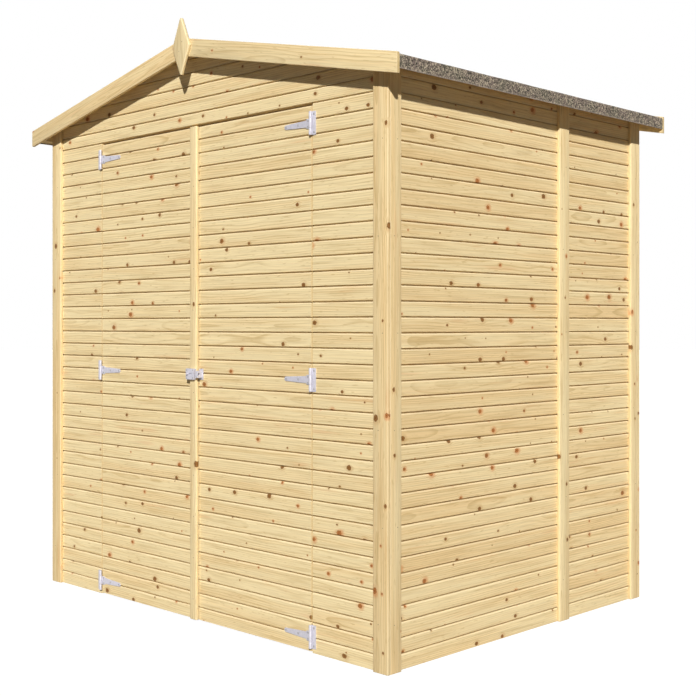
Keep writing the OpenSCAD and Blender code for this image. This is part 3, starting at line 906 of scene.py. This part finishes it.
def nail_head(name, radius):
    """A plain, slightly domed head, facing +Z."""
    build = bmesh.new()
    sides = 10
    levels = ((1.0, -0.30), (1.0, 0.10), (0.72, 0.26))
    rings = [[build.verts.new((radius * share * math.cos(math.tau * i / sides),
                               radius * share * math.sin(math.tau * i / sides), radius * height))
              for i in range(sides)] for share, height in levels]
    for lower, higher in zip(rings, rings[1:]):
        for i in range(sides):
            j = (i + 1) % sides
            build.faces.new((lower[i], lower[j], higher[j], higher[i]))
    build.faces.new(rings[-1])
    build.faces.new(list(reversed(rings[0])))
    bmesh.ops.recalc_face_normals(build, faces=build.faces)
    mesh = bpy.data.meshes.new(name)
    build.to_mesh(mesh)
    build.free()
    return link(name, mesh)


def head_scatter():
    """Geometry Nodes tree that sets a head on each point, turned to face out and spun at random."""
    found = bpy.data.node_groups.get("Head scatter")
    if found:
        return found
    tree, n, given, result = new_tree(
        "Head scatter",
        "GeometryNodeTree",
        [("Geometry", "NodeSocketGeometry"), ("Head", "NodeSocketObject"), ("Seed", "NodeSocketInt"),
         ("Material", "NodeSocketMaterial")],
        [("Geometry", "NodeSocketGeometry")],
    )
    facing = n.out(n.add("GeometryNodeInputNamedAttribute", {"Name": "facing"}, data_type="FLOAT_VECTOR"))
    aligned = n.out(n.add("FunctionNodeAlignRotationToVector", {"Vector": facing}, axis="Z"))
    spin = n.out(n.add("FunctionNodeRandomValue", {"Min": 0.0, "Max": math.tau, "Seed": given["Seed"]},
                       data_type="FLOAT"))
    spun = n.out(n.add("FunctionNodeEulerToRotation", {"Euler": n.join(0.0, 0.0, spin)}))
    turned = n.out(n.add("FunctionNodeRotateRotation", {"Rotation": aligned, "Rotate By": spun},
                         rotation_space="LOCAL"))
    head = n.out(n.add("GeometryNodeObjectInfo", {"Object": given["Head"]}), "Geometry")
    heads = n.out(n.add("GeometryNodeInstanceOnPoints",
                        {"Points": given["Geometry"], "Instance": head, "Rotation": turned}))
    heads = n.out(n.add("GeometryNodeRealizeInstances", {"Geometry": heads}))
    heads = n.out(n.add("GeometryNodeSetMaterial", {"Geometry": heads, "Material": given["Material"]}))
    n.put(result.inputs["Geometry"], heads)
    return tree


def set_heads(name, body, head, spots, material):
    """One piece that holds a head at each (place, facing)."""
    host = bpy.data.meshes.new(name)
    host.from_pydata([tuple(spot) for spot, _ in spots], [], [])
    facing = host.attributes.new("facing", "FLOAT_VECTOR", "POINT")
    facing.data.foreach_set("vector", [value for _, out in spots for value in out])
    seed = bpy.context.scene.shed_fixings.seed
    mesh = run_tree(name, host, head_scatter(), {"Head": head, "Seed": seed, "Material": material})
    finish_mesh(mesh)
    add_to_body(link(name, mesh), body)


# ---- Felt ----


def roof_pitch():
    """The pitch of the roof, from the upper face of the right-hand felt."""
    points = node_points("roof_felt_right")
    low, high = corners(points)
    ridge = max(p.z for p in points if p.x < low.x + MERGE)
    eave = max(p.z for p in points if p.x > high.x - MERGE)
    return math.atan2(ridge - eave, high.x - low.x)


def felt_path(side):
    """The outer face of one slope's felt across the roof, from the ridge over the eaves, as (x, z)."""
    felt = bpy.context.scene.shed_felt
    low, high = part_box("roof_felt_right")
    pitch = roof_pitch()
    bend = 0.006
    slope_end = high.x - bend
    steps = 22
    outs = [slope_end * i / steps for i in range(steps + 1)]
    path = [(out, high.z - out * math.tan(pitch)) for out in outs]
    turns = 5
    for i in range(1, turns + 1):
        share = math.sin(math.pi / 2 * i / turns)
        drop = 1 - math.cos(math.pi / 2 * i / turns)
        path.append((slope_end + bend * share, path[steps][1] - bend * math.tan(pitch) * share - bend * drop))
    fold = 6
    start_z = path[-1][1]
    end_z = low.z - felt.overhang
    path += [(high.x, start_z + (end_z - start_z) * i / fold) for i in range(1, fold + 1)]
    return [(side * x, z) for x, z in path]


def sheet_piece(name, path, y0, y1, sag, ragged_end):
    """A wavy sheet that runs along Y over a path of (x, z), with its thickness inwards."""
    felt = bpy.context.scene.shed_felt
    rows = 74
    build = bmesh.new()
    edge = build.verts.layers.float.new("edge")
    grid = []
    for i in range(rows + 1):
        share = i / rows
        y = y0 + (y1 - y0) * share
        line = []
        for j, (x, z) in enumerate(path):
            lift = noise.noise(Vector((x * 9.0, y * 9.0, z * 9.0 + sag))) - 0.5
            spot = Vector((x, y, z))
            if 0 < j < len(path) - 1:
                spot.z += felt.wave * min(0.0, lift)
            if j == len(path) - 1 and ragged_end:
                spot.z += felt.ragged * (0.5 + 0.5 * noise.noise(Vector((y * 31.0, sag, 0.0))))
            line.append(build.verts.new(spot))
            line[-1][edge] = float(ragged_end and j == len(path) - 1)
        grid.append(line)
    for row, above in zip(grid, grid[1:]):
        for j in range(len(path) - 1):
            build.faces.new((row[j], row[j + 1], above[j + 1], above[j]))
    bmesh.ops.recalc_face_normals(build, faces=build.faces)
    if sum(face.normal.z for face in build.faces) < 0:
        bmesh.ops.reverse_faces(build, faces=build.faces)
    piece = piece_from(name, build, mineral_felt())
    solidify = piece.modifiers.new("Thickness", "SOLIDIFY")
    solidify.thickness = felt.sheet
    solidify.offset = -1.0
    graph = bpy.context.evaluated_depsgraph_get()
    solid = bpy.data.meshes.new_from_object(piece.evaluated_get(graph), depsgraph=graph)
    piece.modifiers.remove(solidify)
    piece.data = solid
    finish_mesh(solid)
    return piece


# ---- Operators ----


class ShedOperator:
    """What every operator here shares."""

    bl_options = {"REGISTER", "UNDO"}


class SHED_OT_wall_boards(ShedOperator, bpy.types.Operator):
    """Clad the walls and the gables with tongued boards"""

    bl_idname = "shed.wall_boards"
    bl_label = "Wall boards"

    def execute(self, context):
        """Boards each wall panel from the ground up."""
        course = context.scene.shed_boards.course
        walls = {0: ("front_wall_left", "front_wall_right", "front_gable"),
                 90: ("right_wall_front", "right_wall_rear"),
                 180: ("back_wall_left", "back_wall_right"),
                 -90: ("left_wall_front", "left_wall_rear")}
        for degrees, nodes in walls.items():
            tones = WARM_TONES if abs(degrees) == 90 else PALE_TONES
            for node in nodes:
                board_slab(node, "pine", planed_pine(), wall_turn(degrees), course, tones, start=0.0)
        return {"FINISHED"}


class SHED_OT_door_boards(ShedOperator, bpy.types.Operator):
    """Board the two door leaves in line with the walls"""

    bl_idname = "shed.door_boards"
    bl_label = "Door boards"

    def execute(self, context):
        """Boards each leaf."""
        for node in ("door_left_boards", "door_right_boards"):
            board_slab(node, "pine", planed_pine(), wall_turn(0), context.scene.shed_boards.course,
                       PALE_TONES, start=0.0)
        return {"FINISHED"}


class SHED_OT_floor_and_roof_boards(ShedOperator, bpy.types.Operator):
    """Lay the floor boards, and the roof boards from the ridge down to the eaves"""

    bl_idname = "shed.floor_and_roof_boards"
    bl_label = "Floor and roof boards"

    def execute(self, context):
        """Boards the floor and both slopes, with their good faces to the inside."""
        sizes = context.scene.shed_boards
        floor = axes_matrix((1, 0, 0), (0, 0, -1), (0, 1, 0))
        board_slab("floor_deck", "frame_pine", sawn_pine(), floor, sizes.floor_course, ALL_TONES)
        pitch = roof_pitch()
        for side, node in ((1, "roof_boards_right"), (-1, "roof_boards_left")):
            down = Vector((side * math.cos(pitch), 0, -math.sin(pitch)))
            up = Vector((side * math.sin(pitch), 0, math.cos(pitch)))
            slope = axes_matrix(down, up, down.cross(up))
            board_slab(node, "frame_pine", sawn_pine(), slope, sizes.roof_course, ALL_TONES)
        return {"FINISHED"}


class SHED_OT_framing(ShedOperator, bpy.types.Operator):
    """Make the bearers, frames, ledges and roof timbers"""

    bl_idname = "shed.framing"
    bl_label = "Framing"

    def execute(self, context):
        """Rounds and grains each framing timber."""
        sizes = context.scene.shed_timbers
        draw = random.Random(sizes.seed)
        for node in ("floor_bearers", "front_posts", "front_rails", "door_stops", "side_studs", "side_rails",
                     "back_studs", "back_rails", "door_left_ledges", "door_right_ledges", "ridge_beam",
                     "purlins"):
            timber(node, "frame_pine", sawn_pine(), sizes.frame_edge, draw, ALL_TONES)
        return {"FINISHED"}


class SHED_OT_trims(ShedOperator, bpy.types.Operator):
    """Make the corner trims, cover strips, meeting strip and eaves battens"""

    bl_idname = "shed.trims"
    bl_label = "Trims"

    def execute(self, context):
        """Rounds and grains each planed trim."""
        sizes = context.scene.shed_timbers
        draw = random.Random(sizes.seed + 1)
        for node in ("front_corner_trims", "back_corner_trims", "side_corner_trims", "side_cover_strips",
                     "back_cover_strip", "meeting_strip", "eaves_battens"):
            timber(node, "pine", planed_pine(), sizes.trim_edge, draw, TRIM_TONES)
        return {"FINISHED"}


class SHED_OT_bargeboards(ShedOperator, bpy.types.Operator):
    """Make the bargeboards and the finials"""

    bl_idname = "shed.bargeboards"
    bl_label = "Bargeboards"

    def execute(self, context):
        """Rounds and grains the bargeboards, and bevels the finials, whose grain is upright."""
        sizes = context.scene.shed_timbers
        draw = random.Random(sizes.seed + 2)
        for node in ("front_barges", "back_barges"):
            timber(node, "pine", planed_pine(), sizes.trim_edge, draw, TRIM_TONES)
        timber("finials", "pine", planed_pine(), 2 * sizes.trim_edge, draw, TRIM_TONES, Vector((0, 0, 1)))
        return {"FINISHED"}


class SHED_OT_roof_felt(ShedOperator, bpy.types.Operator):
    """Lay the mineral felt over both slopes, with a strip over the ridge"""

    bl_idname = "shed.roof_felt"
    bl_label = "Roof felt"

    def execute(self, context):
        """Makes a sheet for each slope and the strip over the ridge."""
        felt = context.scene.shed_felt
        low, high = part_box("roof_felt_right")
        for side, node in ((1, "roof_felt_right"), (-1, "roof_felt_left")):
            piece = sheet_piece(node + "_sheet", felt_path(side), low.y, high.y, 3.0 * side, True)
            place(piece, node, "mineral_felt")
        slope = math.tan(roof_pitch())
        steps = 12
        rounding = 0.012
        path = []
        for i in range(-steps, steps + 1):
            x = felt.cap_half * i / steps
            rise = high.z + felt.cap_rise - slope * math.hypot(x, rounding) + slope * rounding
            path.append((x, rise))
        piece = sheet_piece("ridge_felt_strip", path, low.y, high.y, 11.0, False)
        add_to_body(piece, "shed")
        return {"FINISHED"}


class SHED_OT_fittings(ShedOperator, bpy.types.Operator):
    """Make the tee hinges, the bolt, its case and the keeper"""

    bl_idname = "shed.fittings"
    bl_label = "Hinges and latch"

    def execute(self, context):
        """Rounds the edges of each steel part."""
        radius = context.scene.shed_timbers.metal_edge
        for node in ("left_hinge_plates", "left_hinge_straps", "right_hinge_plates", "right_hinge_straps",
                     "bolt_case", "bolt", "keeper"):
            build = merged_copy(node)
            round_edges(build, radius)
            place(piece_from(node + "_steel", build, zinc_steel()), node, "zinc_steel")
        return {"FINISHED"}


class SHED_OT_fixings(ShedOperator, bpy.types.Operator):
    """Drive the screws of the fittings and the nails of the trims and felt"""

    bl_idname = "shed.fixings"
    bl_label = "Screws and nails"

    def execute(self, context):
        """Sets every head, one piece for each body and kind of head."""
        fixing = context.scene.shed_fixings
        screw = screw_head("screw_head", fixing.screw_radius)
        small = screw_head("small_screw_head", fixing.small_radius)
        nail = nail_head("nail_head", fixing.nail_radius)
        clout = nail_head("clout_head", fixing.clout_radius)
        out = Vector((0, -1, 0))

        def spots_on(node, places):
            """Points on the front of each solid: places are shares of its width and height."""
            spots = []
            for low, high in solid_boxes(node):
                for across, up in places(low, high):
                    spots.append((Vector((across, self.front(node, low), up)), out))
            return spots

        steel = head_steel("Screw steel", fixing.screw, 0.6)
        dull = head_steel("Nail steel", fixing.nail, 0.05)
        plates = (("left", "shed", "door_left", 1), ("right", "shed", "door_right", -1))
        for name, fixed, door, side in plates:
            set_heads(name + "_plate_screws", fixed, screw, spots_on(
                name + "_hinge_plates", lambda low, high: self.plate_places(low, high, -side)), steel)
            set_heads(name + "_strap_screws", door, screw, spots_on(
                name + "_hinge_straps", lambda low, high: self.strap_places(low, high, side)), steel)
        set_heads("keeper_screws", "door_right", small, self.keeper_spots(out), steel)
        set_heads("case_screws", "door_left", small, self.case_spots(out), steel)
        set_heads("meeting_strip_nails", "door_left", nail, self.strip_spots(out), dull)
        set_heads("trim_nails", "shed", nail, self.trim_spots(), dull)
        set_heads("felt_clouts", "shed", clout, self.clout_spots(), zinc_steel())
        for head in (screw, small, nail, clout):
            bpy.data.objects.remove(head)
        return {"FINISHED"}

    def front(self, node, low):
        """The front of the flat metal of a hinge solid, behind its knuckles."""
        flats = [p.y for p in node_points(node)]
        thickness = 0.0025
        return max(flats) - thickness

    def plate_places(self, low, high, side):
        """The two screws of a fixed plate, clear of its knuckles."""
        knuckle = 0.010
        end = 0.0085
        edge = high.x if side > 0 else low.x
        across = edge - side * ((high.x - low.x) - knuckle) * 0.5
        return [(across, low.z + end), (across, high.z - end)]

    def strap_places(self, low, high, side):
        """The four screws of a strap: two abreast in its head, one half way and one at its tip."""
        root = low.x if side > 0 else high.x
        reach = high.x - low.x
        middle = (low.z + high.z) / 2
        head = 0.0195
        apart = 0.0095
        return [(root + side * head, middle - apart), (root + side * head, middle + apart),
                (root + side * reach * 0.50, middle), (root + side * (reach - 0.0085), middle)]

    def keeper_spots(self, out):
        """The two screws of the keeper, above and below its socket."""
        low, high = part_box("keeper")
        plate = max(p.y for p in node_points("keeper")) - 0.0025
        inset = 0.0034
        middle = (low.x + high.x) / 2
        return [(Vector((middle, plate, z)), out) for z in (low.z + inset, high.z - inset)]

    def case_spots(self, out):
        """The four screws of the bolt's case."""
        low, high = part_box("bolt_case")
        inset = 0.0052
        return [(Vector((x, low.y, z)), out)
                for x in (low.x + inset, high.x - inset)
                for z in (low.z + inset, high.z - inset)]

    def strip_spots(self, out):
        """The nails of the meeting strip, one to every third course and a little out of line."""
        low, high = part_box("meeting_strip")
        draw = random.Random(bpy.context.scene.shed_fixings.seed)
        step = 3 * bpy.context.scene.shed_boards.course
        count = int((high.z - low.z) / step)
        middle = (low.x + high.x) / 2
        return [(Vector((middle + draw.uniform(-0.004, 0.004), low.y, low.z + step * (i + 0.5))), out)
                for i in range(count)]

    def trim_spots(self):
        """The nails of the corner trims and cover strips, and two in the middle of each finial."""
        spots = []
        step = 6 * bpy.context.scene.shed_boards.course
        for node in ("front_corner_trims", "back_corner_trims", "side_corner_trims", "side_cover_strips",
                     "back_cover_strip"):
            for low, high in solid_boxes(node):
                across = 1 if high.x - low.x < high.y - low.y else 0
                through = 1 - across
                outer = high[through] if low[through] > 0 else low[through]
                facing = Vector((0, 0, 0))
                facing[through] = 1.0 if low[through] > 0 else -1.0
                for i in range(int((high.z - low.z) / step)):
                    spot = Vector((0, 0, low.z + step * (i + 0.5)))
                    spot[across] = low[across] + (high[across] - low[across]) * (0.35 + 0.3 * (i % 2))
                    spot[through] = outer
                    spots.append((spot, facing))
        for low, high in solid_boxes("finials"):
            front = low.y < 0
            spot = (low + high) / 2
            spot.y = low.y if front else high.y
            apart = Vector((0.008, 0, 0.016))
            facing = Vector((0, -1 if front else 1, 0))
            spots += [(spot - apart, facing), (spot + apart, facing)]
        return spots

    def clout_spots(self):
        """The felt nails along the edges of the ridge strip and beside the bargeboards."""
        felt = bpy.context.scene.shed_felt
        step = bpy.context.scene.shed_fixings.clout_spacing
        low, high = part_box("roof_felt_right")
        pitch = roof_pitch()
        spots = []
        inset = 0.016
        for side in (-1, 1):
            facing = Vector((side * math.sin(pitch), 0, math.cos(pitch)))
            edge = felt.cap_half - inset
            count = int((high.y - low.y - 2 * inset) / step)
            for i in range(count + 1):
                y = low.y + inset + (high.y - low.y - 2 * inset) * i / count
                top = high.z + felt.cap_rise - edge * math.tan(pitch)
                spots.append((Vector((side * edge, y, top)), facing))
            count = int((high.x - felt.cap_half - 2 * inset) / step)
            for i in range(count + 1):
                x = felt.cap_half + inset + (high.x - felt.cap_half - 2 * inset) * i / count
                for y in (low.y + inset, high.y - inset):
                    spots.append((Vector((side * x, y, high.z - x * math.tan(pitch))), facing))
        return spots


class SHED_OT_stage(ShedOperator, bpy.types.Operator):
    """Set the floor, the light and the camera"""

    bl_idname = "shed.stage"
    bl_label = "Stage"

    def execute(self, context):
        """Makes the stage."""
        stage = context.scene.shed_stage
        self.floor(stage)
        self.light(stage)
        self.camera(context.scene, stage)
        context.scene.view_settings.view_transform = "Standard"
        return {"FINISHED"}

    def floor(self, stage):
        """A wide pale floor that shows near white and keeps the shed's shadow."""
        build = bmesh.new()
        bmesh.ops.create_grid(build, x_segments=2, y_segments=2, size=40.0,
                              matrix=Matrix.Translation((0, 0, -0.001)))
        material, n, shader = new_material("Pale floor")
        shader.inputs["Base Color"].default_value = rgba(stage.floor)
        shader.inputs["Roughness"].default_value = 0.9
        shader.inputs["Specular IOR Level"].default_value = 0.1
        path = n.add("ShaderNodeLightPath")
        seen = n.math("MAXIMUM", path.outputs["Is Camera Ray"], path.outputs["Is Glossy Ray"])
        glow = n.add("ShaderNodeEmission", {"Color": rgba(stage.glow), "Strength": seen})
        both = n.add("ShaderNodeAddShader")
        n.put(both.inputs[0], shader.outputs[0])
        n.put(both.inputs[1], glow.outputs[0])
        n.put(material.node_tree.nodes["Material Output"].inputs["Surface"], both.outputs[0])
        piece_from("floor", build, material)

    def light(self, stage):
        """A main light from over the camera's shoulder, a back light and an even fill."""
        for name, strength, travel in (("main_light", stage.sun, stage.sun_travel),
                                       ("back_light", stage.back, stage.back_travel)):
            lamp = bpy.data.lights.new(name, "SUN")
            lamp.energy = strength
            lamp.angle = stage.sun_size
            holder = bpy.data.objects.new(name, lamp)
            holder.rotation_euler = Vector(travel).to_track_quat("-Z", "Y").to_euler()
            bpy.context.scene.collection.objects.link(holder)
        world = bpy.data.worlds.new("Studio")
        world.use_nodes = True
        bpy.context.scene.world = world
        n = Nodes(world.node_tree)
        path = n.add("ShaderNodeLightPath")
        seen = n.math("MAXIMUM", path.outputs["Is Camera Ray"],
                      n.math("MAXIMUM", path.outputs["Is Glossy Ray"], path.outputs["Is Transmission Ray"]))
        strength = n.math("ADD", stage.fill, n.math("MULTIPLY", seen, 1.0 - stage.fill))
        background = world.node_tree.nodes["Background"]
        white = rgba((1.0, 1.0, 1.0))
        n.put(background.inputs["Color"], n.blend(seen, rgba(stage.fill_colour), white))
        n.put(background.inputs["Strength"], strength)

    def camera(self, scene, stage):
        """A level camera on the shed's front right corner."""
        lens = bpy.data.cameras.new("camera")
        lens.lens = stage.lens
        lens.shift_y = stage.shift
        lens.clip_end = 200.0
        camera = bpy.data.objects.new("camera", lens)
        camera.location = stage.eye
        camera.rotation_euler = (math.pi / 2, 0.0, stage.heading)
        scene.collection.objects.link(camera)
        scene.camera = camera


OPERATORS = (
    SHED_OT_wall_boards,
    SHED_OT_door_boards,
    SHED_OT_floor_and_roof_boards,
    SHED_OT_framing,
    SHED_OT_trims,
    SHED_OT_bargeboards,
    SHED_OT_roof_felt,
    SHED_OT_fittings,
    SHED_OT_fixings,
    SHED_OT_stage,
)

SETTINGS = {
    "shed_boards": ShedBoardSettings,
    "shed_timbers": ShedTimberSettings,
    "shed_wood": ShedWoodSettings,
    "shed_felt": ShedFeltSettings,
    "shed_fixings": ShedFixingSettings,
    "shed_stage": ShedStageSettings,
}


class SHED_PT_panel(bpy.types.Panel):
    """Lists the shed's operators and settings."""

    bl_idname = "SHED_PT_panel"
    bl_label = "Apex garden shed"
    bl_space_type = "VIEW_3D"
    bl_region_type = "UI"
    bl_category = "Shed"

    def draw(self, context):
        """Draws a button for each operator and a box for each group of settings."""
        for operator in OPERATORS:
            self.layout.operator(operator.bl_idname)
        for name, group in SETTINGS.items():
            box = self.layout.box()
            settings = getattr(context.scene, name)
            for key in group.__annotations__:
                box.prop(settings, key)


def register():
    """Registers the settings, the operators and the panel."""
    for name, group in SETTINGS.items():
        bpy.utils.register_class(group)
        setattr(bpy.types.Scene, name, PointerProperty(type=group))
    for operator in OPERATORS:
        bpy.utils.register_class(operator)
    bpy.utils.register_class(SHED_PT_panel)


def unregister():
    """Takes away what register added."""
    bpy.utils.unregister_class(SHED_PT_panel)
    for operator in reversed(OPERATORS):
        bpy.utils.unregister_class(operator)
    for name, group in reversed(SETTINGS.items()):
        delattr(bpy.types.Scene, name)
        bpy.utils.unregister_class(group)


def main():
    """Builds the whole shed."""
    register()
    bpy.ops.shed.wall_boards()
    bpy.ops.shed.door_boards()
    bpy.ops.shed.floor_and_roof_boards()
    bpy.ops.shed.framing()
    bpy.ops.shed.trims()
    bpy.ops.shed.bargeboards()
    bpy.ops.shed.roof_felt()
    bpy.ops.shed.fittings()
    bpy.ops.shed.fixings()
    bpy.ops.shed.stage()


if __name__ == "__main__":
    main()
